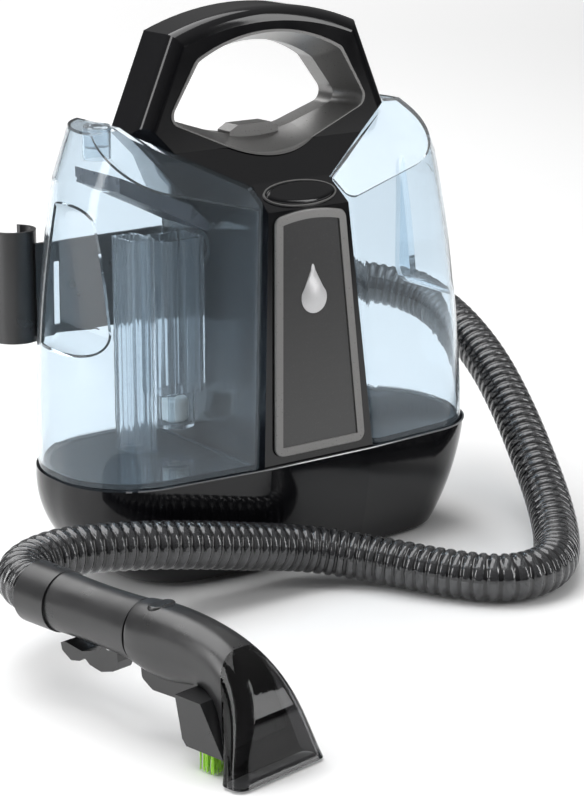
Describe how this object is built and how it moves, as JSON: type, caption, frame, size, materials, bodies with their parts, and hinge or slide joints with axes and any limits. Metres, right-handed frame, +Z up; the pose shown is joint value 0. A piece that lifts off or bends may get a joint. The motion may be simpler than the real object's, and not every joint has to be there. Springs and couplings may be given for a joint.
{
  "type": "spot extractor",
  "caption": "Portable spot extractor with two clear lift-off tanks, a loop handle, a rear tool bracket and a ribbed hose that ends in a trigger spray tool with a brush head.",
  "frame": {"origin": "under the middle of the machine, on the plane its rubber feet stand on", "axes": "+X to the machine's right seen from the front, -Y out of its front, +Z up"},
  "size_m": [0.4675, 0.4496, 0.338],
  "materials": {
    "gloss_black": "high-gloss black moulded plastic",
    "satin_black": "fine-textured black plastic",
    "satin_grey": "satin grey paint with a warm metallic sheen",
    "graphite": "graphite panel, slightly darker at the top",
    "tank_clear": "smoky blue clear plastic, polished",
    "tank_parts": "grey-blue translucent moulding",
    "dark_parts": "dark grey moulding inside the tank",
    "rubber": "black rubber",
    "hose": "silvery translucent ribbed hose with black ribs",
    "smoke_clear": "smoked clear plastic",
    "bristle": "yellow-green nylon",
    "steel": "zinc-plated steel",
    "motor": "pressed steel can",
    "board": "green circuit board",
    "white_nylon": "natural nylon"
  },
  "bodies": {
    "machine": {"base_shell": "gloss_black", "base_plate": "satin_black", "rubber_feet": "rubber", "base_screws": "steel", "tank_gaskets": "rubber", "valve_cup": "satin_black", "front_shell": "gloss_black", "back_shell": "gloss_black", "handle_liner": "satin_grey", "strip_bezel": "satin_grey", "nameplate": "graphite", "button_bezel": "satin_grey", "power_switch": "satin_black", "motor": "motor", "motor_mount": "rubber", "fan_housing": "satin_black", "suction_duct": "satin_black", "dirty_duct": "rubber", "pump": "satin_black", "supply_tube": "white_nylon", "circuit_board": "board", "port_seals": "rubber", "exhaust_grille": "satin_black", "cord_inlet": "satin_black", "lower_hook": "satin_black", "shell_screws": "steel", "tool_bracket": "satin_black", "hose_socket": "gloss_black", "hose": "hose", "tool_cuff": "satin_black", "grip_upper": "satin_black", "grip_lower": "satin_black", "trigger_pin": "steel", "spray_valve": "satin_black", "spray_tube": "white_nylon"},
    "power_button": {"power_button": "gloss_black"},
    "fan": {"fan": "white_nylon"},
    "upper_hook": {"upper_hook": "satin_black"},
    "dirty_tank": {"dirty_tank": "tank_clear", "riser_column": "tank_parts", "air_duct": "tank_parts", "float_cage": "tank_parts", "inlet_tray": "dark_parts", "pour_spout": "tank_parts"},
    "tank_float": {"tank_float": "white_nylon"},
    "drain_plug": {"drain_plug": "rubber"},
    "clean_tank": {"clean_tank": "tank_clear"},
    "fill_cap": {"fill_cap": "dark_parts"},
    "valve_plunger": {"valve_plunger": "white_nylon"},
    "trigger": {"trigger": "satin_black"},
    "valve_pin": {"valve_pin": "white_nylon"},
    "nozzle": {"nozzle_body": "satin_black", "nozzle_window": "smoke_clear", "brush_plate": "satin_black", "bristles": "bristle", "spray_tip": "white_nylon"},
    "lock_button": {"lock_button": "satin_black"}
  },
  "joints": [
    {"name": "power_button_press", "type": "slide", "parent": "machine", "child": "power_button", "axis": [0, 0.5942, -0.8043], "range_m": [0, 0.0025]},
    {"name": "fan_spin", "type": "hinge", "parent": "machine", "child": "fan", "pos_m": [0, 0, 0.13], "axis": [0, 0, 1], "continuous": true},
    {"name": "upper_hook_swivel", "type": "hinge", "parent": "machine", "child": "upper_hook", "pos_m": [0, 0.06, 0.17], "axis": [0, 1, 0], "range_deg": [0, 90]},
    {"name": "dirty_tank_lift_off", "type": "slide", "parent": "machine", "child": "dirty_tank", "axis": [-0.7071, 0, 0.7071], "range_m": [0, 0.16]},
    {"name": "float_rise", "type": "slide", "parent": "dirty_tank", "child": "tank_float", "axis": [0, 0, 1], "range_m": [0, 0.085]},
    {"name": "drain_plug_pull", "type": "slide", "parent": "dirty_tank", "child": "drain_plug", "axis": [0, 0, 1], "range_m": [0, 0.03]},
    {"name": "clean_tank_lift_off", "type": "slide", "parent": "machine", "child": "clean_tank", "axis": [0.7071, 0, 0.7071], "range_m": [0, 0.16]},
    {"name": "fill_cap_turn", "type": "hinge", "parent": "clean_tank", "child": "fill_cap", "pos_m": [0.068, 0, 0.07], "axis": [0, 0, 1], "range_deg": [0, 90]},
    {"name": "valve_plunger_rise", "type": "slide", "parent": "fill_cap", "child": "valve_plunger", "axis": [0, 0, 1], "range_m": [0, 0.0025]},
    {"name": "trigger_squeeze", "type": "hinge", "parent": "machine", "child": "trigger", "pos_m": [-0.22181, -0.18895, 0.038], "axis": [0.9854, 0.1701, 0], "range_deg": [0, 8]},
    {"name": "valve_pin_rise", "type": "slide", "parent": "machine", "child": "valve_pin", "axis": [0, 0, 1], "range_m": [0, 0.00168]},
    {"name": "nozzle_pull_off", "type": "slide", "parent": "machine", "child": "nozzle", "axis": [0.1701, -0.9854, 0], "range_m": [0, 0.04]},
    {"name": "nozzle_lock_press", "type": "slide", "parent": "nozzle", "child": "lock_button", "axis": [0, 0, -1], "range_m": [0, 0.0015]}
  ],
  "couplings": [
    {"joint": "valve_pin_rise", "follows": "trigger_squeeze", "m_per_rad": 0.012}
  ]
}
